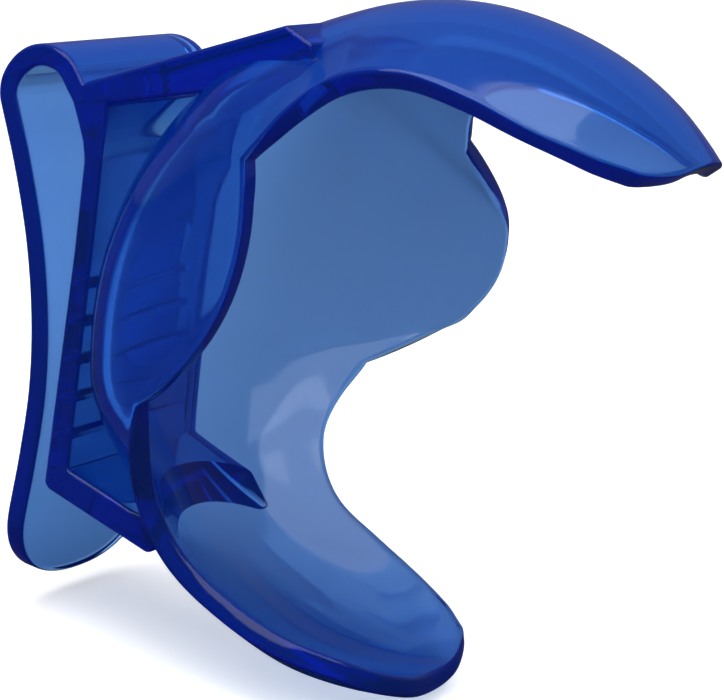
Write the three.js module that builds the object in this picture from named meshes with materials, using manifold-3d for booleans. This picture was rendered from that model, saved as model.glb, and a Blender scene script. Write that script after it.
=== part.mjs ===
// A dental cheek retractor: one clear blue moulding with a C-shaped cheek shell, a bracket behind it
// and a springy clip leaf on a hairpin loop. Millimetres, +Z up, +X out through the shell's opening,
// +Y away from the side with the front flange.
import * as THREE from 'three';
import { mergeVertices } from 'three/addons/utils/BufferGeometryUtils.js';
import Module from 'manifold-3d';

const DEG = Math.PI / 180;

// Driving dimensions.
const WALL = 2.2;                 // moulded wall of the shell
const GAP = 0.3;                  // between neighbouring sub-parts
const NEAR = -12;                 // the bracket's and the clip's near face, along Y
const BRACKET_FAR = 9.5;          // and their far faces
const CLIP_FAR = 11;
const SHELL_CENTRE = new THREE.Vector3(38, 0, -1);
const SHELL_TILT = 18.5 * DEG;    // the shell's opening points this far below +X
const TIP_ANGLE = 112;            // half the arc that the shell wraps round
const TIP_ROUND = 3.5;            // the last degrees of it, where the tip is rounded off
const TIP_SHARE = 0.3;            // and how much of a section each corner then takes off
const ROOT_ANGLE = 46;            // where the wings start
const WALL_FACE = -0.5;           // the bracket wall's upright face, which the clip closes on
const FACE_FOOT = 4;              // where that face ends and the ribbed one below it leans back

// The shell's cross-sections, from its middle to a wing tip: the angle, then the radius and depth
// of the front rim, of the crest and of the back rim.
const STATIONS = [
  [0, 24.8, -17.5, 37.2, 1.0, 22.7, 22.8],
  [20, 24.8, -17.5, 37.2, 1.0, 22.7, 22.8],
  [30, 25.1, -17.5, 37.2, 1.0, 22.8, 22.8],
  [38, 26.4, -17.3, 37.1, 0.8, 23.4, 21.4],
  [46, 28.4, -16.6, 37.0, 0.6, 26.0, 18.3],
  [54, 30.2, -15.5, 37.0, 0.5, 27.9, 15.7],
  [66, 31.0, -14.6, 36.8, 0.5, 28.9, 14.5],
  [80, 30.4, -13.8, 36.2, 0.6, 28.6, 15.2],
  [92, 30.2, -12.6, 35.7, 0.9, 28.7, 15.0],
  [102, 30.9, -9.6, 35.1, 1.7, 29.9, 13.9],
  [108, 31.9, -6.9, 34.5, 2.7, 31.1, 12.2],
  [112, 32.6, -4.6, 34.0, 3.5, 31.8, 10.9],
];
// Slopes of the rims, from radial: at the root, on a wing and at its tip.
const FRONT_LEAN = [0, 58 * DEG, 76 * DEG];
const BACK_LEAN = [45 * DEG, 45 * DEG, 66 * DEG];
const FRONT_FULLNESS = [0.75, 0.42];  // how square the front half of a section is, root and wing
const BACK_LOBE_BEND = 40;            // radius of the back lobe's curl
const FRONT_LOBE = { tip: 17.2, sag: 4.2, half: 14.2, end: 32 };
const BACK_LOBE = { tip: 12.35, sag: 5.6, half: 14.0, end: 37.4 };

const blue = (name) => new THREE.MeshStandardMaterial({
  name, color: 0x2a5cae, roughness: 0.12, metalness: 0,
});

// ---------- shell surface ----------

const smooth = (x, low, high) => {
  const t = THREE.MathUtils.clamp((x - low) / (high - low), 0, 1);
  return t * t * (3 - 2 * t);
};

// Column k of the stations at an angle, as a cubic through them with a level start.
function station(angle, k) {
  const at = (i) => (i < 0
    ? { a: -STATIONS[-i][0], v: STATIONS[-i][k] }
    : { a: STATIONS[i][0], v: STATIONS[i][k] });
  const last = STATIONS.length - 1;
  let i = 0;
  while (i < last - 1 && STATIONS[i + 1][0] < angle) i += 1;
  const p = at(i);
  const q = at(i + 1);
  const before = at(i - 1);
  const after = at(Math.min(i + 2, last));
  const width = q.a - p.a;
  const slopeP = (q.v - before.v) / (q.a - before.a);
  const slopeQ = (after.v - p.v) / (after.a - p.a);
  const t = (angle - p.a) / width;
  const t2 = t * t;
  const t3 = t2 * t;
  return (2 * t3 - 3 * t2 + 1) * p.v + (t3 - 2 * t2 + t) * width * slopeP
    + (3 * t2 - 2 * t3) * q.v + (t3 - t2) * width * slopeQ;
}

const bezier = (a, b, c, d, t) => {
  const s = 1 - t;
  return s * s * s * a + 3 * s * s * t * b + 3 * s * t * t * c + t * t * t * d;
};

// One cross-section's control points. v runs from 0 at the front rim, through 0.5 at the crest,
// to 1 at the back rim; the lobes go on past 0 and 1.
function section(degrees) {
  const s = Math.abs(degrees);
  const [, fr, fy, cr, cy, br, by] = STATIONS[0].map((_, k) => (k ? station(s, k) : 0));
  const wing = smooth(s, 28, 54);
  const tip = smooth(s, 90, TIP_ANGLE);
  const leaning = ([atRoot, onWing, atTip]) => atRoot + (onWing - atRoot) * wing
    + (atTip - onWing) * tip;
  const lean = leaning(FRONT_LEAN);
  const backLean = leaning(BACK_LEAN);
  const frontHandle = 0.37 * Math.hypot(cr - fr, cy - fy);
  const crestFront = (cy - fy) * THREE.MathUtils.lerp(...FRONT_FULLNESS, wing);
  const backHandle = 0.35 * Math.hypot(cr - br, by - cy);
  const crestBack = (by - cy) * 0.52;
  return {
    fr, fy, cr, cy, br, by, lean, backLean, frontHandle, crestFront, backHandle, crestBack,
  };
}

function profile(c, v) {
  if (v < 0) {
    const out = 6 * c.frontHandle * v;
    return [c.fr + out * Math.cos(c.lean), c.fy + out * Math.sin(c.lean)];
  }
  if (v > 1) {
    const turned = c.backLean - (6 * c.backHandle * (v - 1)) / BACK_LOBE_BEND;
    return [
      c.br - BACK_LOBE_BEND * (Math.sin(c.backLean) - Math.sin(turned)),
      c.by + BACK_LOBE_BEND * (Math.cos(turned) - Math.cos(c.backLean)),
    ];
  }
  if (v < 0.5) {
    const t = 2 * v;
    return [
      bezier(c.fr, c.fr + c.frontHandle * Math.cos(c.lean), c.cr, c.cr, t),
      bezier(c.fy, c.fy + c.frontHandle * Math.sin(c.lean), c.cy - c.crestFront, c.cy, t),
    ];
  }
  const t = 2 * v - 1;
  return [
    bezier(c.cr, c.cr, c.br + c.backHandle * Math.cos(c.backLean), c.br, t),
    bezier(c.cy, c.cy + c.crestBack, c.by - c.backHandle * Math.sin(c.backLean), c.by, t),
  ];
}

const across = new THREE.Vector3(Math.cos(SHELL_TILT), 0, -Math.sin(SHELL_TILT));
const upward = new THREE.Vector3(Math.sin(SHELL_TILT), 0, Math.cos(SHELL_TILT));

function place(degrees, radius, depth) {
  return SHELL_CENTRE.clone()
    .addScaledVector(across, -radius * Math.cos(degrees * DEG))
    .addScaledVector(upward, radius * Math.sin(degrees * DEG))
    .add(new THREE.Vector3(0, depth, 0));
}

const surface = (degrees, v) => place(degrees, ...profile(section(degrees), v));

// The outer surface moved along its outward normal.
function offsetSurface(degrees, v, distance) {
  const point = surface(degrees, v);
  const alongAngle = surface(degrees + 0.05, v).sub(surface(degrees - 0.05, v));
  const alongSection = surface(degrees, v + 0.002).sub(surface(degrees, v - 0.002));
  const normal = alongAngle.cross(alongSection).normalize();
  return point.addScaledVector(normal, distance);
}

// Where a lobe's rim crosses a section: x = tip + sag (z / half)^2 measured from the shell's axis.
function lobeRadius(lobe, degrees) {
  const cos = Math.cos(degrees * DEG);
  const a = (lobe.sag * Math.sin(degrees * DEG) ** 2) / lobe.half ** 2;
  return a < 1e-6 ? lobe.tip / cos : (cos - Math.sqrt(cos * cos - 4 * a * lobe.tip)) / (2 * a);
}

function frontLobeRim(degrees) {
  const c = section(degrees);
  return -(c.fr - lobeRadius(FRONT_LOBE, degrees)) / (6 * c.frontHandle * Math.cos(c.lean));
}

function backLobeRim(degrees) {
  const c = section(degrees);
  const inward = (c.br - lobeRadius(BACK_LOBE, degrees)) / BACK_LOBE_BEND;
  const turned = Math.asin(Math.sin(c.backLean) - inward);
  return 1 + (BACK_LOBE_BEND * (c.backLean - turned)) / (6 * c.backHandle);
}

// ---------- solids ----------

const toGeometry = (points, faces) => {
  const geometry = new THREE.BufferGeometry();
  geometry.setAttribute('position', new THREE.Float32BufferAttribute(points, 3));
  geometry.setIndex(faces);
  return geometry;
};

// A closed plate between two grids of points of the same size.
function slab(outer, inner) {
  const rows = outer.length;
  const columns = outer[0].length;
  const points = [];
  const faces = [];
  for (const grid of [outer, inner]) {
    for (const row of grid) for (const p of row) points.push(p.x, p.y, p.z);
  }
  const id = (side, i, j) => side * rows * columns + i * columns + j;
  const quad = (a, b, c, d) => faces.push(a, b, c, a, c, d);
  for (let i = 0; i < rows - 1; i += 1) {
    for (let j = 0; j < columns - 1; j += 1) {
      quad(id(0, i, j), id(0, i + 1, j), id(0, i + 1, j + 1), id(0, i, j + 1));
      quad(id(1, i, j), id(1, i, j + 1), id(1, i + 1, j + 1), id(1, i + 1, j));
    }
  }
  for (let i = 0; i < rows - 1; i += 1) {
    quad(id(0, i, 0), id(1, i, 0), id(1, i + 1, 0), id(0, i + 1, 0));
    const e = columns - 1;
    quad(id(0, i, e), id(0, i + 1, e), id(1, i + 1, e), id(1, i, e));
  }
  for (let j = 0; j < columns - 1; j += 1) {
    quad(id(0, 0, j), id(0, 0, j + 1), id(1, 0, j + 1), id(1, 0, j));
    const e = rows - 1;
    quad(id(0, e, j), id(1, e, j), id(1, e, j + 1), id(0, e, j + 1));
  }
  return toGeometry(points, faces);
}

const spread = (from, to, count) => Array.from(
  { length: count + 1 },
  (_, i) => from + ((to - from) * i) / count,
);

// A piece of the shell between two angles, with its front and back rims given by functions.
function shellPiece(angles, frontRim, backRim, strips) {
  const grid = (distance) => angles.map((s) => spread(frontRim(s), backRim(s), strips)
    .map((v) => offsetSurface(s, v, distance)));
  return slab(grid(0), grid(-WALL));
}

// A flat outline in X and Z, drawn along Y.
function extrudeDepth(shape, near, far) {
  const geometry = new THREE.ExtrudeGeometry(shape, {
    depth: far - near, bevelEnabled: false, curveSegments: 10,
  });
  return geometry.rotateX(Math.PI / 2).translate(0, far, 0);
}

const outline = (points) => new THREE.Shape(points.map(([x, z]) => new THREE.Vector2(x, z)));

// A strip of even thickness along a curve through points in X and Z.
function strip(points, thickness, steps) {
  const curve = new THREE.SplineCurve(points.map(([x, z]) => new THREE.Vector2(x, z)));
  const left = [];
  const right = [];
  for (const t of spread(0, 1, steps)) {
    const p = curve.getPoint(t);
    const along = curve.getTangent(t);
    const side = new THREE.Vector2(-along.y, along.x).multiplyScalar(thickness / 2);
    left.push(p.clone().add(side));
    right.push(p.clone().sub(side));
  }
  return new THREE.Shape([...left, ...right.reverse()]);
}

const wasm = await Module();
wasm.setup();

function toSolid(geometry) {
  const bare = geometry.clone();
  bare.deleteAttribute('normal');
  bare.deleteAttribute('uv');
  const merged = mergeVertices(bare, 1e-4);
  return new wasm.Manifold(new wasm.Mesh({
    numProp: 3,
    vertProperties: new Float32Array(merged.attributes.position.array),
    triVerts: new Uint32Array(merged.index.array),
  }));
}

function fromSolid(solid) {
  const mesh = solid.getMesh();
  return toGeometry(Array.from(mesh.vertProperties), Array.from(mesh.triVerts));
}

// The space that the shell takes up, its wall and hollow together, kept clear by the bracket.
function shellKeepOut() {
  const angles = spread(-80, 80, 54);
  const outer = angles.map((s) => spread(0, 1, 18).map((v) => offsetSurface(s, v, GAP)));
  const axis = angles.map((s) => {
    const c = section(s);
    return spread(0, 1, 18).map((v) => place(s, 14, THREE.MathUtils.lerp(c.fy, c.by, v)));
  });
  return toSolid(slab(outer, axis));
}

// ---------- sub-parts ----------

const group = new THREE.Group();

function add(name, geometry) {
  const merged = mergeVertices(geometry, 1e-5);
  merged.computeVertexNormals();
  const mesh = new THREE.Mesh(merged, blue(name));
  mesh.name = name;
  group.add(mesh);
  return mesh;
}

const sliver = (GAP / 2 / SHELL_CENTRE.x) / DEG;   // half a gap, as an angle at the shell's radius

function addShell() {
  const front = () => 0;
  const back = () => 1;
  const root = spread(-ROOT_ANGLE + sliver, ROOT_ANGLE - sliver, 30);
  add('shell_root', shellPiece(root, front, back, 22));

  // Wing angles close up towards the tip, where the rims turn fastest.
  const reach = TIP_ANGLE - ROOT_ANGLE - sliver;
  const wing = spread(0, 1, 22).map((t) => ROOT_ANGLE + sliver + reach * (1 - (1 - t) ** 1.8));
  const rounding = (s) => {
    const t = THREE.MathUtils.clamp((Math.abs(s) - TIP_ANGLE) / TIP_ROUND + 1, 0, 1);
    return TIP_SHARE * (1 - Math.sqrt(1 - t * t));
  };
  const wingFront = (s) => rounding(s);
  const wingBack = (s) => 1 - rounding(s);
  add('upper_wing', shellPiece(wing, wingFront, wingBack, 18));
  add('lower_wing', shellPiece(wing.map((s) => -s).reverse(), wingFront, wingBack, 18));

  const flange = spread(-FRONT_LOBE.end, FRONT_LOBE.end, 24);
  const frontStart = (s) => -GAP / (6 * section(s).frontHandle);
  add('front_flange', shellPiece(flange, frontLobeRim, frontStart, 5));

  const lobe = spread(-BACK_LOBE.end, BACK_LOBE.end, 24);
  const backStart = (s) => 1 + GAP / (6 * section(s).backHandle);
  add('back_lobe', shellPiece(lobe, backStart, backLobeRim, 7));
}

function addBracket() {
  const keepOut = shellKeepOut();
  const clearOfShell = (shape) => fromSolid(
    toSolid(extrudeDepth(shape, NEAR, BRACKET_FAR)).subtract(keepOut),
  );

  add('grip_wall', clearOfShell(outline([
    [-1.1, -20.7], [-0.8, -21.2], [-0.2, -21.5], [1.6, -21.95], [1.6, 22.75], [-1.25, 21.5],
    [-1.4, 21.1], [-3.15, 19.85], [-2.6, 19.0], [-1.7, 17.2], [-0.9, 15.4], [WALL_FACE, 13.7],
    [WALL_FACE, FACE_FOOT],
  ])));
  add('top_plate', clearOfShell(outline([
    [1.9, 19.9], [13.7, 23.5], [20.5, 25.5], [25.2, 28.3], [24.6, 30.3], [21.5, 31.5],
    [12.1, 27.4], [3.5, 23.6], [1.9, 22.9],
  ])));
  add('bottom_plate', clearOfShell(outline([
    [1.9, -22.0], [12.3, -24.4], [13.2, -24.4], [14.0, -23.8], [16.5, -21], [10.2, -20.7],
    [1.9, -18.7],
  ])));
}

// The ribs cross the wall's outer face, under the clip leaf.
function addRibs() {
  const count = 5;
  const top = 0.8;
  const pitch = 4.1;
  const radius = 0.4;
  const inset = 1.5;                // from the wall's near and far faces
  const slope = (WALL_FACE + 1.1) / (FACE_FOOT + 20.7);
  for (let i = 0; i < count; i += 1) {
    const z = top - i * pitch;
    const face = WALL_FACE - (FACE_FOOT - z) * slope;
    const rib = new THREE.Shape();
    rib.absarc(face - GAP, z, radius, Math.PI / 2, (3 * Math.PI) / 2, false);
    add(`grip_rib_${i + 1}`, extrudeDepth(rib, NEAR + inset, BRACKET_FAR - inset));
  }
}

const LEAF_LINE = [
  [-10.7, 17.4], [-8.3, 11.7], [-5.65, 3.9], [-3.95, -4.2], [-3.35, -11.5], [-3.7, -19],
  [-4.35, -26], [-4.7, -34.5],
];
const LOOP_LINE = [
  [-10.98, 18.15], [-10.95, 19.6], [-10.0, 21.4], [-8.2, 22.8], [-6.2, 23.1], [-4.2, 22.5],
  [-2.55, 20.7],
];
const LEAF_THICKNESS = 2.25;
const TONGUE = { end: -33.8, start: -25.5, power: 2.3 };

function addClip() {
  add('spring_loop', extrudeDepth(strip(LOOP_LINE, LEAF_THICKNESS, 28), NEAR, CLIP_FAR));

  // The leaf's free end is rounded off, seen along X.
  const half = (CLIP_FAR - NEAR) / 2;
  const rootEnd = 25;
  const face = [[-half, rootEnd], [-half, TONGUE.start]];
  for (const t of spread(-1, 1, 32)) {
    const y = half * Math.sin((t * Math.PI) / 2);
    const fall = (1 - Math.abs(y / half) ** TONGUE.power) ** (1 / TONGUE.power);
    if (fall > 0.02) face.push([y, TONGUE.start - (TONGUE.start - TONGUE.end) * fall]);
  }
  face.push([half, TONGUE.start], [half, rootEnd]);
  const cutter = new THREE.ExtrudeGeometry(outline(face), { depth: 30, bevelEnabled: false })
    .rotateX(Math.PI / 2).rotateZ(Math.PI / 2).translate(-20, CLIP_FAR - half, 0);
  const leaf = toSolid(extrudeDepth(strip(LEAF_LINE, LEAF_THICKNESS, 40), NEAR, CLIP_FAR));
  add('clip_leaf', fromSolid(leaf.intersect(toSolid(cutter))));
}

addShell();
addBracket();
addRibs();
addClip();

// The origin is the middle of the whole part's box.
const centre = new THREE.Box3().setFromObject(group).getCenter(new THREE.Vector3());
group.position.copy(centre).negate();

export default group;
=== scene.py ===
"""The looks of a clear blue dental cheek retractor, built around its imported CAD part."""

import math

import bpy
import numpy as np
from mathutils import Matrix, Vector


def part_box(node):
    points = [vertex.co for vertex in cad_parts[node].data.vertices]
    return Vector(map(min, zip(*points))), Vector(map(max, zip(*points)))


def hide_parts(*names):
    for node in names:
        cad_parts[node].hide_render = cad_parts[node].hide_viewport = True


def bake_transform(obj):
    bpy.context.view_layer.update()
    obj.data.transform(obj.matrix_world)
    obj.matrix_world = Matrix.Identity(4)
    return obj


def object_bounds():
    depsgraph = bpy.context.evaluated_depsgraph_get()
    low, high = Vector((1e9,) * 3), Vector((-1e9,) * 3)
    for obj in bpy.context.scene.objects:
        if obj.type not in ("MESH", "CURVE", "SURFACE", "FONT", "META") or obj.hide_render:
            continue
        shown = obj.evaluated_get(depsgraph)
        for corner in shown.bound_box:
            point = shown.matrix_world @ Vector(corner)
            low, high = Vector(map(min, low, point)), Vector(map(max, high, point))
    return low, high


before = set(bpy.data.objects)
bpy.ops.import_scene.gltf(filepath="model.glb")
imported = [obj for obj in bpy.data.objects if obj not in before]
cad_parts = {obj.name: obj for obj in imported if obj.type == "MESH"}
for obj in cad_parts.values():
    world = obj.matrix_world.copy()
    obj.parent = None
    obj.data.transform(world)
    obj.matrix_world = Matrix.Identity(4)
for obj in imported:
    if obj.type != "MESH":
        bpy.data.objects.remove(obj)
CAD_BOX = [list(corner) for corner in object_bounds()]

# ---------- driving dimensions, in millimetres ----------

MM = 0.001
WALL = 2.2                 # moulded wall of the shell
NEAR = -12.0               # the bracket's and the clip's near face, along Y
BRACKET_FAR = 9.5          # and their far faces
CLIP_FAR = 11.0
EDGE = 0.45                # radius of every moulded edge
SHELL_CENTRE = np.array([38.0, 0.0, -1.0])
SHELL_TILT = math.radians(18.5)
TIP_ANGLE = 112.0          # half the arc that the shell wraps round
TIP_ROUND = 3.5            # the last degrees of it, where the tip is rounded off
TIP_SHARE = 0.3            # and how much of a section each corner then takes off
FUSE = 0.9                 # how deep the bracket runs into the shell's wall
WALL_FACE = -0.5           # the grip wall's upright outer face, along X
WALL_BACK = 1.6            # its inner face
WALL_TOP = 22.75
FACE_FOOT = 4.0            # where the upright face ends and the ribbed one below it leans outwards
FACE_LEAN = 0.6 / 24.7     # by this much for each millimetre down

# The shell's cross-sections, from its middle to a wing tip: the angle, then the radius and depth
# of the front rim, of the crest and of the back rim.
STATIONS = np.array([
    [0, 24.8, -17.5, 37.2, 1.0, 22.7, 22.8],
    [20, 24.8, -17.5, 37.2, 1.0, 22.7, 22.8],
    [30, 25.1, -17.5, 37.2, 1.0, 22.8, 22.8],
    [38, 26.4, -17.3, 37.1, 0.8, 23.4, 21.4],
    [46, 28.4, -16.6, 37.0, 0.6, 26.0, 18.3],
    [54, 30.2, -15.5, 37.0, 0.5, 27.9, 15.7],
    [66, 31.0, -14.6, 36.8, 0.5, 28.9, 14.5],
    [80, 30.4, -13.8, 36.2, 0.6, 28.6, 15.2],
    [92, 30.2, -12.6, 35.7, 0.9, 28.7, 15.0],
    [102, 30.9, -9.6, 35.1, 1.7, 29.9, 13.9],
    [108, 31.9, -6.9, 34.5, 2.7, 31.1, 12.2],
    [112, 32.6, -4.6, 34.0, 3.5, 31.8, 10.9],
])
FRONT_LEAN = np.radians([0, 58, 76])      # slopes of the front rim: root, wing and tip
BACK_LEAN = np.radians([45, 45, 66])
FRONT_FULLNESS = (0.75, 0.42)             # how square a section's front half is, root and wing
BACK_FULLNESS = 0.52
FRONT_HANDLE = 0.37                       # how far a curve keeps its rim's slope, against its span
BACK_HANDLE = 0.35
RIM_SPEED = 6                             # handles that a cubic's end covers in one unit of v
WING_BLEND = (28, 54)                     # degrees over which the root's section becomes a wing's
TIP_BLEND = 90                            # where a wing's section starts to become its tip's
BACK_LOBE_BEND = 40.0                     # radius of the back lobe's curl
FRONT_LOBE = {"tip": 17.2, "sag": 4.2, "half": 14.2, "limit": 40}
BACK_LOBE = {"tip": 12.35, "sag": 5.6, "half": 14.0, "limit": 45}

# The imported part's origin: its grip wall is the same block here.
wall_low, wall_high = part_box("grip_wall")
ORIGIN = np.array([
    wall_high.x - WALL_BACK * MM, wall_low.y - NEAR * MM, wall_high.z - WALL_TOP * MM])
# The finished mesh shrinks by this much, which keeps its rounded faces inside the CAD box.
TRIM = 0.999


# ---------- the shell's surface ----------

def smooth(x, low, high):
    t = np.clip((x - low) / (high - low), 0, 1)
    return t * t * (3 - 2 * t)


def station(s, k):
    """Column k of the stations at angles s >= 0: a cubic through them with a level start."""
    a, y = STATIONS[:, 0], STATIONS[:, k]
    slope = np.empty(len(a))
    slope[0] = 0
    slope[1:-1] = (y[2:] - y[:-2]) / (a[2:] - a[:-2])
    slope[-1] = (y[-1] - y[-2]) / (a[-1] - a[-2])
    i = np.clip(np.searchsorted(a, s, side="left") - 1, 0, len(a) - 2)
    width = a[i + 1] - a[i]
    t = (s - a[i]) / width
    t2, t3 = t * t, t * t * t
    return ((2 * t3 - 3 * t2 + 1) * y[i] + (t3 - 2 * t2 + t) * width * slope[i]
            + (3 * t2 - 2 * t3) * y[i + 1] + (t3 - t2) * width * slope[i + 1])


def bezier(a, b, c, d, t):
    s = 1 - t
    return s * s * s * a + 3 * s * s * t * b + 3 * s * t * t * c + t * t * t * d


def section(degrees):
    s = np.abs(degrees)
    fr, fy, cr, cy, br, by = (station(s, k) for k in range(1, 7))
    wing = smooth(s, *WING_BLEND)
    tip = smooth(s, TIP_BLEND, TIP_ANGLE)

    def leaning(at):
        return at[0] + (at[1] - at[0]) * wing + (at[2] - at[1]) * tip

    fullness = FRONT_FULLNESS[0] + (FRONT_FULLNESS[1] - FRONT_FULLNESS[0]) * wing
    return {
        "fr": fr, "fy": fy, "cr": cr, "cy": cy, "br": br, "by": by,
        "lean": leaning(FRONT_LEAN), "back_lean": leaning(BACK_LEAN),
        "front_handle": FRONT_HANDLE * np.hypot(cr - fr, cy - fy),
        "crest_front": (cy - fy) * fullness,
        "back_handle": BACK_HANDLE * np.hypot(cr - br, by - cy),
        "crest_back": (by - cy) * BACK_FULLNESS,
    }


def profile(c, v):
    """Radius and depth at v: 0 at the front rim, 0.5 at the crest, 1 at the back rim."""
    cos_f, sin_f = np.cos(c["lean"]), np.sin(c["lean"])
    cos_b, sin_b = np.cos(c["back_lean"]), np.sin(c["back_lean"])
    out = RIM_SPEED * c["front_handle"] * v
    flange = c["fr"] + out * cos_f, c["fy"] + out * sin_f
    turned = c["back_lean"] - RIM_SPEED * c["back_handle"] * (v - 1) / BACK_LOBE_BEND
    curl = (c["br"] - BACK_LOBE_BEND * (sin_b - np.sin(turned)),
            c["by"] + BACK_LOBE_BEND * (np.cos(turned) - cos_b))
    t = np.clip(2 * v, 0, 1)
    front = (
        bezier(c["fr"], c["fr"] + c["front_handle"] * cos_f, c["cr"], c["cr"], t),
        bezier(c["fy"], c["fy"] + c["front_handle"] * sin_f,
               c["cy"] - c["crest_front"], c["cy"], t))
    t = np.clip(2 * v - 1, 0, 1)
    back = (
        bezier(c["cr"], c["cr"], c["br"] + c["back_handle"] * cos_b, c["br"], t),
        bezier(c["cy"], c["cy"] + c["crest_back"],
               c["by"] - c["back_handle"] * sin_b, c["by"], t))
    return tuple(
        np.select([v < 0, v > 1, v < 0.5], [flange[k], curl[k], front[k]], back[k])
        for k in (0, 1))


ACROSS = np.array([math.cos(SHELL_TILT), 0, -math.sin(SHELL_TILT)])
UPWARD = np.array([math.sin(SHELL_TILT), 0, math.cos(SHELL_TILT)])
DEPTH = np.array([0.0, 1.0, 0.0])


def place(degrees, radius, depth):
    angle = np.radians(degrees)
    return (SHELL_CENTRE - (radius * np.cos(angle))[..., None] * ACROSS
            + (radius * np.sin(angle))[..., None] * UPWARD + depth[..., None] * DEPTH)


def surface(degrees, v):
    return place(degrees, *profile(section(degrees), v))


def unit(vectors):
    return vectors / np.linalg.norm(vectors, axis=-1, keepdims=True)


def shell_point(degrees, v, depth):
    """A point of the shell's wall, depth below its outer surface."""
    along_angle = surface(degrees + 0.05, v) - surface(degrees - 0.05, v)
    along_section = surface(degrees, v + 0.002) - surface(degrees, v - 0.002)
    outward = unit(np.cross(along_angle, along_section))
    return surface(degrees, v) - outward * np.asarray(depth)[..., None]


def lobe_radius(lobe, degrees):
    """A lobe's rim, x = tip + sag (z / half)^2 from the shell's axis, as a radius."""
    cos, sin = np.cos(np.radians(degrees)), np.sin(np.radians(degrees))
    a = lobe["sag"] * sin ** 2 / lobe["half"] ** 2
    root = np.sqrt(np.maximum(cos * cos - 4 * a * lobe["tip"], 0))
    return 2 * lobe["tip"] / (cos + root)


def front_rim(degrees):
    c = section(degrees)
    reach = (c["fr"] - lobe_radius(FRONT_LOBE, degrees)) / np.cos(c["lean"])
    on_lobe = np.abs(degrees) < FRONT_LOBE["limit"]
    lobe = np.where(on_lobe, -reach / (RIM_SPEED * c["front_handle"]), 0)
    return np.minimum(lobe, 0)


def back_rim(degrees):
    c = section(degrees)
    inward = (c["br"] - lobe_radius(BACK_LOBE, degrees)) / BACK_LOBE_BEND
    turned = np.arcsin(np.clip(np.sin(c["back_lean"]) - inward, -1, 1))
    lobe = BACK_LOBE_BEND * (c["back_lean"] - turned) / (RIM_SPEED * c["back_handle"])
    on_lobe = np.abs(degrees) < BACK_LOBE["limit"]
    return 1 + np.maximum(np.where(on_lobe, lobe, 0), 0)


def rounding(degrees):
    t = np.clip((np.abs(degrees) - TIP_ANGLE) / TIP_ROUND + 1, 0, 1)
    return TIP_SHARE * (1 - np.sqrt(1 - t * t))


def corner_angle(rim, base, high):
    """Where a lobe's rim meets the base rim, by halving from inside the lobe to its limit."""
    low = 10
    for _ in range(50):
        middle = (low + high) / 2
        if abs(float(rim(np.array(middle))) - base) > 1e-9:
            low = middle
        else:
            high = middle
    return low


# ---------- meshes ----------

def new_object(name, points, faces):
    mesh = bpy.data.meshes.new(name)
    mesh.from_pydata([tuple(p) for p in points], [], [tuple(f) for f in faces])
    mesh.validate()
    obj = bpy.data.objects.new(name, mesh)
    bpy.context.scene.collection.objects.link(obj)
    return obj


def loop_of(grid):
    """The border of a grid of ids, once round."""
    return np.concatenate([grid[:, 0], grid[-1, 1:], grid[-2::-1, -1], grid[0, -2:0:-1]])


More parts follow.
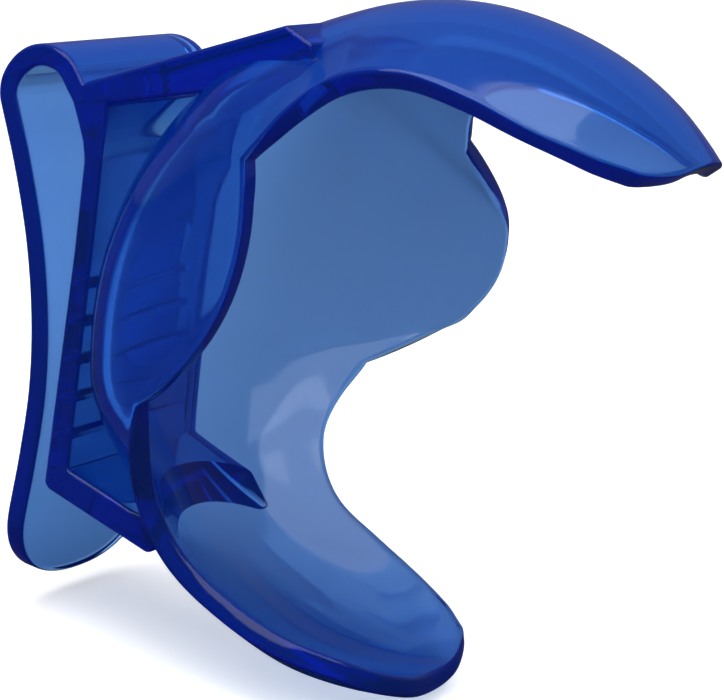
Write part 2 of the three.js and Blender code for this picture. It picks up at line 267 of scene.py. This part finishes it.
def rounded_slab(name, point, p, q, thickness, radius, bends=5):
    """A closed plate with rounded edges. point(p, q, depth) gives its places, p and q are grids."""
    rows, columns = p.shape
    ids = np.arange(rows * columns).reshape(rows, columns)
    rim = loop_of(ids)
    bp, bq = p.ravel()[rim], q.ravel()[rim]
    zero = np.zeros_like(bp)
    dp, dq = np.ptp(p) * 1e-5, np.ptp(q) * 1e-5
    tp = (point(bp + dp, bq, zero) - point(bp - dp, bq, zero)) / (2 * dp)
    tq = (point(bp, bq + dq, zero) - point(bp, bq - dq, zero)) / (2 * dq)
    edge = point(bp, bq, zero)
    before = unit(edge - np.roll(edge, 1, axis=0))
    after = unit(np.roll(edge, -1, axis=0) - edge)
    normal = unit(np.cross(tp, tq))
    inward_before, inward_after = np.cross(normal, before), np.cross(normal, after)
    inward = unit(inward_before + inward_after)
    mitre = 1 / np.clip((inward * inward_after).sum(-1), 0.5, 1)
    middle = point(np.full(1, p.mean()), np.full(1, q.mean()), np.zeros(1))[0]
    if ((middle - edge) * inward).sum() < 0:
        inward = -inward
    inward = inward * mitre[:, None]
    # the inward step as a change of p and q
    pp, qq, pq = (tp * tp).sum(-1), (tq * tq).sum(-1), (tp * tq).sum(-1)
    ip, iq = (inward * tp).sum(-1), (inward * tq).sum(-1)
    det = pp * qq - pq * pq
    step_p, step_q = (ip * qq - iq * pq) / det, (iq * pp - ip * pq) / det

    def moved(grid, step):
        d = np.zeros(rows * columns)
        d[rim] = step * radius
        d = d.reshape(rows, columns)
        u = np.linspace(0, 1, rows)[:, None]
        w = np.linspace(0, 1, columns)[None, :]
        corners = ((1 - u) * (1 - w) * d[0, 0] + (1 - u) * w * d[0, -1]
                   + u * (1 - w) * d[-1, 0] + u * w * d[-1, -1])
        return grid + ((1 - w) * d[:, :1] + w * d[:, -1:] + (1 - u) * d[:1] + u * d[-1:] - corners)

    gp, gq = moved(p, step_p), moved(q, step_q)
    layers = [point(gp, gq, np.full(p.shape, depth)).reshape(-1, 3) for depth in (0, thickness)]
    rings = []
    for depth_side in (0, 1):
        for k in range(1, bends + 1):
            turn = math.pi / 2 * (k / bends if depth_side == 0 else 1 - (k - 1) / bends)
            inset = radius * (1 - math.sin(turn))
            down = radius * (1 - math.cos(turn))
            depth = down if depth_side == 0 else thickness - down
            rings.append(point(bp + inset * step_p, bq + inset * step_q, zero + depth))
    points = np.concatenate([*layers, *rings])
    size = rows * columns
    a, b = ids[:-1, :-1].ravel(), ids[1:, :-1].ravel()
    c, d = ids[1:, 1:].ravel(), ids[:-1, 1:].ravel()
    faces = list(zip(a, b, c, d)) + list(zip(d + size, c + size, b + size, a + size))
    n = len(rim)
    chain = [rim] + [2 * size + k * n + np.arange(n) for k in range(2 * bends)] + [rim + size]
    for one, two in zip(chain, chain[1:]):
        one_next, two_next = np.roll(one, -1), np.roll(two, -1)
        faces += list(zip(one_next, one, two, two_next))
    return new_object(name, points, faces)


def rounded_prism(name, outline, near, far, radius, bends=5):
    """An outline in X and Z drawn along Y, with its edges rounded."""
    outline = np.array(outline, float)
    before = unit(outline - np.roll(outline, 1, axis=0))
    after = unit(np.roll(outline, -1, axis=0) - outline)
    area = (outline[:, 0] * np.roll(outline[:, 1], -1)
            - outline[:, 1] * np.roll(outline[:, 0], -1)).sum()
    turn_way = 1 if area > 0 else -1

    def left(v):
        return turn_way * np.stack([-v[:, 1], v[:, 0]], -1)

    inward = unit(left(before) + left(after))
    inward /= np.clip((inward * left(after)).sum(-1), 0.4, 1)[:, None]
    rings = []
    for end, facing in ((near, 1), (far, -1)):
        for k in range(bends + 1):
            turn = math.pi / 2 * (k if facing > 0 else bends - k) / bends
            flat = outline + inward * radius * (1 - math.sin(turn))
            depth = end + facing * radius * (1 - math.cos(turn))
            rings.append(np.stack([flat[:, 0], np.full(len(flat), depth), flat[:, 1]], -1))
    n = len(outline)
    faces = [tuple(range(n)), tuple(reversed(range((len(rings) - 1) * n, len(rings) * n)))]
    for k in range(len(rings) - 1):
        for i in range(n):
            j = (i + 1) % n
            faces.append((k * n + j, k * n + i, (k + 1) * n + i, (k + 1) * n + j))
    return new_object(name, np.concatenate(rings), faces)


def filleted(corners):
    """An outline from (x, z, radius) corners, each rounded to its radius."""
    points = []
    n = len(corners)
    for i, (x, z, r) in enumerate(corners):
        here = np.array([x, z], float)
        if r == 0:
            points.append(here)
            continue
        to_last = np.array(corners[i - 1][:2], float) - here
        to_next = np.array(corners[(i + 1) % n][:2], float) - here
        room = 0.49 * min(np.linalg.norm(to_last), np.linalg.norm(to_next))
        to_last, to_next = unit(to_last), unit(to_next)
        half_angle = math.acos(np.clip(to_last @ to_next, -1, 1)) / 2
        reach = min(r / math.tan(half_angle), room)
        start, end = here + to_last * reach, here + to_next * reach
        steps = max(2, round((math.pi - 2 * half_angle) / math.radians(12)))
        centre = here + unit(to_last + to_next) * reach / math.cos(half_angle)
        ring = np.linalg.norm(start - centre)
        for t in np.linspace(0, 1, steps + 1):
            points.append(centre + unit((1 - t) * (start - centre) + t * (end - centre)) * ring)
    return points


def combine(target, other, operation):
    modifier = target.modifiers.new("combine", "BOOLEAN")
    modifier.operation = operation
    modifier.solver = "MANIFOLD"
    modifier.object = other
    dg = bpy.context.evaluated_depsgraph_get()
    mesh = bpy.data.meshes.new_from_object(target.evaluated_get(dg))
    target.modifiers.clear()
    target.data = mesh
    bpy.data.objects.remove(other)


def outwards(obj):
    """Turns a closed mesh's faces outwards."""
    mesh = obj.data
    mesh.calc_loop_triangles()
    co = np.array([v.co for v in mesh.vertices])
    tri = np.array([t.vertices for t in mesh.loop_triangles])
    volume = np.einsum("ij,ij->i", co[tri[:, 0]], np.cross(co[tri[:, 1]], co[tri[:, 2]])).sum()
    if volume < 0:
        mesh.flip_normals()
    return obj


# ---------- the shell ----------

SHELL_STEPS = [46, 8, 64, 26]   # faces along each stretch of half the shell, from its middle
SHELL_ROWS = 73                 # points across it, from rim to rim
TIP_MESH_START = 100            # the angle where the last stretch starts
TIP_CROWDING = 1.8              # how strongly its faces crowd towards the tip
KEEP_OUT_ANGLE = 80
KEEP_OUT_RADIUS = 14.0


def build_shell():
    front_corner = corner_angle(front_rim, 0, FRONT_LOBE["limit"])
    back_corner = corner_angle(back_rim, 1, BACK_LOBE["limit"])
    knots = [0, front_corner, back_corner, TIP_MESH_START, TIP_ANGLE]
    half = [0.0]
    for low, high, count in zip(knots, knots[1:], SHELL_STEPS):
        t = np.linspace(0, 1, count + 1)[1:]
        if high == TIP_ANGLE:
            t = 1 - (1 - t) ** TIP_CROWDING
        half += list(low + (high - low) * t)
    half = np.array(half)
    angles = np.concatenate([-half[:0:-1], half])
    rows = np.linspace(0, 1, SHELL_ROWS)
    low = front_rim(angles) + rounding(angles)
    high = back_rim(angles) - rounding(angles)
    s = np.repeat(angles[:, None], len(rows), axis=1)
    v = low[:, None] + (high - low)[:, None] * rows[None, :]
    return outwards(rounded_slab("shell", shell_point, s, v, WALL, EDGE))


def build_keep_out():
    """What the bracket is cut back by: the shell's hollow and the inner part of its wall."""
    angles = np.linspace(-KEEP_OUT_ANGLE, KEEP_OUT_ANGLE, 161)
    s, v = np.meshgrid(angles, np.linspace(0, 1, 49), indexing="ij")
    outer = shell_point(s, v, np.full(s.shape, FUSE))
    c = section(s)
    inner = place(s, np.full(s.shape, KEEP_OUT_RADIUS), c["fy"] + (c["by"] - c["fy"]) * v)
    rows, columns = s.shape
    size = rows * columns
    ids = np.arange(size).reshape(rows, columns)
    a, b = ids[:-1, :-1].ravel(), ids[1:, :-1].ravel()
    e, d = ids[1:, 1:].ravel(), ids[:-1, 1:].ravel()
    faces = list(zip(a, b, e, d)) + list(zip(d + size, e + size, b + size, a + size))
    rim = loop_of(ids)
    after = np.roll(rim, -1)
    faces += list(zip(after, rim, rim + size, after + size))
    points = np.concatenate([outer.reshape(-1, 3), inner.reshape(-1, 3)])
    return outwards(new_object("keep_out", points, faces))


# ---------- the bracket and its clip ----------

# The bracket's corners: X, Z and the radius that rounds each.
FRAME = [
    (-1.1, -20.9, 0.5), (-0.5, -21.5, 0.6), (12.9, -24.6, 0.9), (16.5, -21.0, 0),
    (10.2, -20.7, 0), (1.75, -18.7, 0.4),
    (1.75, 19.85, 0.4), (13.7, 23.5, 0), (20.5, 25.5, 0), (25.2, 28.3, 0), (24.6, 30.3, 0.5),
    (21.5, 31.5, 0.6), (12.1, 27.4, 0), (3.5, 23.6, 0), (-1.25, 21.5, 0), (-2.4, 20.6, 0),
    (-3.05, 19.8, 0.3), (-2.6, 19.0, 0.3), (-1.7, 17.2, 0), (-0.9, 15.4, 2),
    (WALL_FACE, 13.7, 2), (WALL_FACE, FACE_FOOT, 0),
]
# The middle of the loop's and the leaf's thickness, in X and Z, from the wall's top round and down.
LOOP_AND_LEAF = np.array([
    [-1.2, 19.2], [-2.55, 20.7], [-4.2, 22.5], [-6.2, 23.1], [-8.2, 22.8], [-10.0, 21.4],
    [-10.95, 19.6], [-10.98, 18.15], [-10.7, 17.4], [-8.3, 11.7], [-5.65, 3.9],
    [-3.95, -4.2], [-3.35, -11.5], [-3.7, -19.0], [-4.35, -26.0], [-4.7, -34.5],
])
LEAF_THICKNESS = 2.25
TONGUE = {"end": -33.8, "start": -25.5, "power": 2.3}   # the leaf's rounded free end, along Z
CLIP_STEPS = 120           # points along the clip before the tongue
TONGUE_STEPS = 40          # and along the tongue
CLIP_ROWS = 33             # points across it
RIBS = {
    "count": 5, "top": 0.8, "pitch": 4.1, "inset": 1.5,
    "height": 0.22, "half_width": 0.75, "edge": 0.1,
    "sunk": 0.02,          # how far a rib's flanks start inside the wall
    "root": 0.8,           # and how deep its body runs into it
}


def spline(points, t):
    """A centripetal curve through points, and its direction, at t from 0 to 1."""
    gaps = np.sqrt(np.linalg.norm(np.diff(points, axis=0), axis=1))
    knots = np.concatenate([[0], np.cumsum(gaps)])
    slopes = np.empty_like(points)
    h = np.diff(knots)[:, None]
    d = np.diff(points, axis=0) / h
    slopes[1:-1] = (d[:-1] * h[1:] + d[1:] * h[:-1]) / (h[:-1] + h[1:])
    slopes[0] = 2 * d[0] - slopes[1]
    slopes[-1] = 2 * d[-1] - slopes[-2]
    x = np.clip(t, 0, 1) * knots[-1]
    i = np.clip(np.searchsorted(knots, x, side="right") - 1, 0, len(h) - 1)
    w = h[i, 0]
    u = (x - knots[i]) / w
    u, w = u[..., None], w[..., None]
    p, q, sp, sq = points[i], points[i + 1], slopes[i], slopes[i + 1]
    spot = ((2 * u ** 3 - 3 * u ** 2 + 1) * p + (u ** 3 - 2 * u ** 2 + u) * w * sp
            + (3 * u ** 2 - 2 * u ** 3) * q + (u ** 3 - u ** 2) * w * sq)
    way = ((6 * u ** 2 - 6 * u) * p / w + (3 * u ** 2 - 4 * u + 1) * sp
           + (6 * u - 6 * u ** 2) * q / w + (3 * u ** 2 - 2 * u) * sq)
    return spot, unit(way)


def clip_point(t, y, depth):
    """A point of the loop and leaf: t along them, y across, depth from the outer face."""
    middle, way = spline(LOOP_AND_LEAF, t)
    side = np.stack([way[..., 1], -way[..., 0]], -1)
    flat = middle + side * (LEAF_THICKNESS / 2 - np.asarray(depth))[..., None]
    return np.stack([flat[..., 0], y, flat[..., 1]], -1)


def build_clip():
    fine = np.linspace(0, 1, 4001)
    z = spline(LOOP_AND_LEAF, fine)[0][:, 1]
    on_leaf = fine > 0.5
    t_start = np.interp(-TONGUE["start"], -z[on_leaf], fine[on_leaf])
    t_end = np.interp(-TONGUE["end"], -z[on_leaf], fine[on_leaf])
    just_short = 0.985         # the outline stops before its width reaches nothing
    fall = np.sin(np.linspace(0, math.pi / 2, TONGUE_STEPS)[1:] * just_short)
    before_tongue = np.linspace(0, t_start, CLIP_STEPS)
    t = np.concatenate([before_tongue, t_start + (t_end - t_start) * fall])
    power = TONGUE["power"]
    reach = np.clip((t - t_start) / (t_end - t_start), 0, 1)
    middle, half_width = (CLIP_FAR + NEAR) / 2, (CLIP_FAR - NEAR) / 2
    half = half_width * (1 - reach ** power) ** (1 / power)
    y = middle + half[:, None] * np.linspace(-1, 1, CLIP_ROWS)[None, :]
    grid = np.repeat(t[:, None], y.shape[1], axis=1)
    return outwards(rounded_slab("clip", clip_point, grid, y, LEAF_THICKNESS, EDGE))


def build_rib(index):
    """A low round-backed bar across the wall's outer face."""
    z = RIBS["top"] - index * RIBS["pitch"]
    face = WALL_FACE - (FACE_FOOT - z) * FACE_LEAN
    swell = [(t, math.cos(t * math.pi / 2) ** 2) for t in np.linspace(1, -1, 13)]
    flank = face + RIBS["sunk"]
    ring = [(flank - RIBS["height"] * h, z + RIBS["half_width"] * t) for t, h in swell]
    root = face + RIBS["root"]
    ring += [(root, ring[-1][1]), (root, ring[0][1])]
    near, far = NEAR + RIBS["inset"], BRACKET_FAR - RIBS["inset"]
    return outwards(rounded_prism("rib", ring, near, far, RIBS["edge"], 2))


def build_retractor():
    bracket = outwards(rounded_prism("bracket", filleted(FRAME), NEAR, BRACKET_FAR, EDGE))
    combine(bracket, build_keep_out(), "DIFFERENCE")
    combine(bracket, build_clip(), "UNION")
    for i in range(RIBS["count"]):
        combine(bracket, build_rib(i), "UNION")
    shell = build_shell()
    combine(shell, bracket, "UNION")
    shell.name = "retractor_body"
    shell.data.name = "retractor_body"
    to_row = Matrix.Translation(ORIGIN) @ Matrix.Scale(MM, 4)
    shell.data.transform(Matrix.Scale(TRIM, 4) @ to_row)
    return shell


# ---------- materials ----------

def node(tree, kind, x, y, **values):
    made = tree.nodes.new(kind)
    made.location = (x, y)
    for key, value in values.items():
        if key in made.inputs:
            made.inputs[key].default_value = value
        else:
            setattr(made, key, value)
    return made


def clear_blue():
    material = bpy.data.materials.new("clear_blue")
    material.use_nodes = True
    tree = material.node_tree
    tree.nodes.clear()
    out = node(tree, "ShaderNodeOutputMaterial", 600, 0)
    shader = node(tree, "ShaderNodeBsdfPrincipled", 200, 0)
    shader.inputs["Base Color"].default_value = (0.90, 0.95, 0.99, 1)
    shader.inputs["Transmission Weight"].default_value = 1.0
    shader.inputs["IOR"].default_value = 1.5
    noise = node(tree, "ShaderNodeTexNoise", -600, 0)
    noise.inputs["Scale"].default_value = 90
    ramp = node(tree, "ShaderNodeMapRange", -300, 0)
    ramp.inputs["To Min"].default_value = 0.04
    ramp.inputs["To Max"].default_value = 0.08
    tree.links.new(noise.outputs["Fac"], ramp.inputs["Value"])
    tree.links.new(ramp.outputs["Result"], shader.inputs["Roughness"])
    volume = node(tree, "ShaderNodeVolumeAbsorption", 200, -400)
    volume.inputs["Color"].default_value = (0.03, 0.55, 0.93, 1)
    volume.inputs["Density"].default_value = 560
    haze = node(tree, "ShaderNodeBsdfPrincipled", 200, 500)
    haze.inputs["Base Color"].default_value = (0.003, 0.075, 0.60, 1)
    haze.inputs["Roughness"].default_value = 0.30
    haze.inputs["Specular IOR Level"].default_value = 0.0
    mix = node(tree, "ShaderNodeMixShader", 450, 200)
    mix.inputs["Fac"].default_value = 0.20
    tree.links.new(shader.outputs["BSDF"], mix.inputs[1])
    tree.links.new(haze.outputs["BSDF"], mix.inputs[2])
    tree.links.new(mix.outputs["Shader"], out.inputs["Surface"])
    tree.links.new(volume.outputs["Volume"], out.inputs["Volume"])
    return material


# The main view's left, and straight away from it. Seen through the plastic, the floor has a painted
# pool of light along the first; the room's light is brighter along the second.
MAIN_VIEW_LEFT = (-0.87, -0.50, 0.0)
MAIN_VIEW_AWAY = (-0.50, 0.86, 0.0)


def studio_white():
    """A matt floor: white to the camera and dark to other rays; through the plastic it is grey-blue
    with a painted pool of light towards the main view's left.
    """
    material = bpy.data.materials.new("studio_white")
    material.use_nodes = True
    tree = material.node_tree
    shader = tree.nodes["Principled BSDF"]
    shader.inputs["Roughness"].default_value = 0.9
    ray = node(tree, "ShaderNodeLightPath", -600, 0)
    # Painted pool of light: seen through the plastic, the floor is painted lighter towards the main
    # view's left, then tinted blue.
    spot = node(tree, "ShaderNodeNewGeometry", -1200, -400)
    painted_pool_reach = node(tree, "ShaderNodeVectorMath", -1000, -400, operation="DOT_PRODUCT")
    painted_pool_reach.inputs[1].default_value = MAIN_VIEW_LEFT
    tree.links.new(spot.outputs["Position"], painted_pool_reach.inputs[0])
    painted_light_pool = node(tree, "ShaderNodeMapRange", -800, -400, interpolation_type="SMOOTHSTEP")
    painted_light_pool.inputs["From Min"].default_value = 0.01
    painted_light_pool.inputs["From Max"].default_value = 0.06
    painted_light_pool.inputs["To Min"].default_value = 0.42
    painted_light_pool.inputs["To Max"].default_value = 0.72
    tree.links.new(painted_pool_reach.outputs["Value"], painted_light_pool.inputs["Value"])
    through = node(tree, "ShaderNodeMix", -450, -200, data_type="RGBA")
    through.blend_type = "MULTIPLY"
    through.inputs["Factor"].default_value = 1.0
    through.inputs["B"].default_value = (0.84, 0.97, 1.25, 1)
    tree.links.new(painted_light_pool.outputs["Result"], through.inputs["A"])
    unseen = node(tree, "ShaderNodeMix", -450, 0, data_type="RGBA")
    unseen.inputs["A"].default_value = (0.05, 0.05, 0.05, 1)
    tree.links.new(through.outputs["Result"], unseen.inputs["B"])
    tree.links.new(ray.outputs["Is Transmission Ray"], unseen.inputs["Factor"])
    mix = node(tree, "ShaderNodeMix", -300, 0, data_type="RGBA")
    tree.links.new(unseen.outputs["Result"], mix.inputs["A"])
    mix.inputs["B"].default_value = (0.95, 0.95, 0.95, 1)
    tree.links.new(ray.outputs["Is Camera Ray"], mix.inputs["Factor"])
    tree.links.new(mix.outputs["Result"], shader.inputs["Base Color"])
    shader.inputs["Emission Color"].default_value = (1, 1, 1, 1)
    lift = node(tree, "ShaderNodeMapRange", -300, -400)
    lift.inputs["To Max"].default_value = 0.45
    tree.links.new(ray.outputs["Is Camera Ray"], lift.inputs["Value"])
    tree.links.new(lift.outputs["Result"], shader.inputs["Emission Strength"])
    return material


retractor = build_retractor()
retractor.data.materials.clear()
retractor.data.materials.append(clear_blue())
for polygon in retractor.data.polygons:
    polygon.use_smooth = True
retractor.data.set_sharp_from_angle(angle=math.radians(32))

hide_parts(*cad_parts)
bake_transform(retractor)

# ---------- stage, lights and camera ----------

FLOOR_GAP = 0.5 * MM
bpy.ops.mesh.primitive_plane_add(size=6, location=(0, 0, CAD_BOX[0][2] - FLOOR_GAP))
floor = bpy.context.object
floor.name = "floor"
floor.data.materials.append(studio_white())


def studio_world():
    """A room that is white to the camera, shaded through the plastic and dimmer to other rays."""
    world = bpy.data.worlds.new("studio")
    world.use_nodes = True
    tree = world.node_tree
    background = tree.nodes["Background"]
    direction = node(tree, "ShaderNodeTexCoord", -1200, -200)
    behind = node(tree, "ShaderNodeVectorMath", -1000, -200, operation="DOT_PRODUCT")
    behind.inputs[1].default_value = MAIN_VIEW_AWAY
    tree.links.new(direction.outputs["Generated"], behind.inputs[0])
    room = node(tree, "ShaderNodeMapRange", -800, -200, interpolation_type="SMOOTHSTEP")
    room.inputs["From Min"].default_value = -0.8
    room.inputs["From Max"].default_value = 0.5
    room.inputs["To Min"].default_value = 0.20
    room.inputs["To Max"].default_value = 0.60
    tree.links.new(behind.outputs["Value"], room.inputs["Value"])
    ray = node(tree, "ShaderNodeLightPath", -800, 0)
    gloss = node(tree, "ShaderNodeMapRange", -600, -300)
    gloss.inputs["To Min"].default_value = 0.30
    tree.links.new(ray.outputs["Is Transmission Ray"], gloss.inputs["Value"])
    dimmed = node(tree, "ShaderNodeMath", -450, -200, operation="MULTIPLY")
    tree.links.new(room.outputs["Result"], dimmed.inputs[0])
    tree.links.new(gloss.outputs["Result"], dimmed.inputs[1])
    mix = node(tree, "ShaderNodeMix", -300, 0, data_type="RGBA")
    tree.links.new(dimmed.outputs["Value"], mix.inputs["A"])
    mix.inputs["B"].default_value = (1, 1, 1, 1)
    tree.links.new(ray.outputs["Is Camera Ray"], mix.inputs["Factor"])
    tree.links.new(mix.outputs["Result"], background.inputs["Color"])
    return world


def softbox(name, spot, size, power):
    """A rectangular lamp at a spot, facing the object."""
    light = bpy.data.lights.new(name, "AREA")
    light.shape = "RECTANGLE"
    light.size, light.size_y = size
    light.energy = power
    obj = bpy.data.objects.new(name, light)
    obj.location = spot
    obj.rotation_mode = "QUATERNION"
    obj.rotation_quaternion = (-Vector(spot)).to_track_quat("-Z", "Y")
    bpy.context.scene.collection.objects.link(obj)
    return obj


bpy.context.scene.world = studio_world()
softbox("key", (0.04, -0.28, 0.55), (0.80, 0.80), 4.0)
softbox("front_right", (0.40, -0.31, 0.33), (0.20, 0.14), 0.12)
fill = softbox("fill", (0.45, -0.75, 0.0), (0.7, 0.7), 1.4)
fill.visible_glossy = False
ceiling = softbox("ceiling", (0, 0, 2.0), (2.4, 2.4), 32.0)
ceiling.visible_glossy = False

VIEW_AZIMUTH, VIEW_ELEVATION, VIEW_ROLL = (math.radians(a) for a in (30, 15, 8))
VIEW_DISTANCE = 250 * MM
VIEW_CENTRE = np.array([28.40, -1.09, -0.53])   # what the camera looks at
FOCAL_PIXELS = 2500
IMAGE_WIDTH = 724
SENSOR_WIDTH = 36
back = Vector((math.sin(VIEW_AZIMUTH) * math.cos(VIEW_ELEVATION),
               -math.cos(VIEW_AZIMUTH) * math.cos(VIEW_ELEVATION), math.sin(VIEW_ELEVATION)))
level = Vector((math.cos(VIEW_AZIMUTH), math.sin(VIEW_AZIMUTH), 0))
upright = back.cross(level)
right = level * math.cos(VIEW_ROLL) + upright * math.sin(VIEW_ROLL)
up = back.cross(right)
camera = bpy.data.objects.new("camera", bpy.data.cameras.new("camera"))
camera.data.sensor_width = SENSOR_WIDTH
camera.data.lens = SENSOR_WIDTH * FOCAL_PIXELS / IMAGE_WIDTH
camera.data.clip_start = 0.01
target = Vector(ORIGIN + MM * VIEW_CENTRE)
turn = Matrix((right, up, back)).transposed().to_4x4()
camera.matrix_world = Matrix.Translation(target + back * VIEW_DISTANCE) @ turn
bpy.context.scene.collection.objects.link(camera)
bpy.context.scene.camera = camera
bpy.context.scene.view_settings.view_transform = "Standard"
bpy.context.scene.cycles.max_bounces = 40
bpy.context.scene.cycles.transmission_bounces = 40
bpy.context.scene.cycles.glossy_bounces = 16
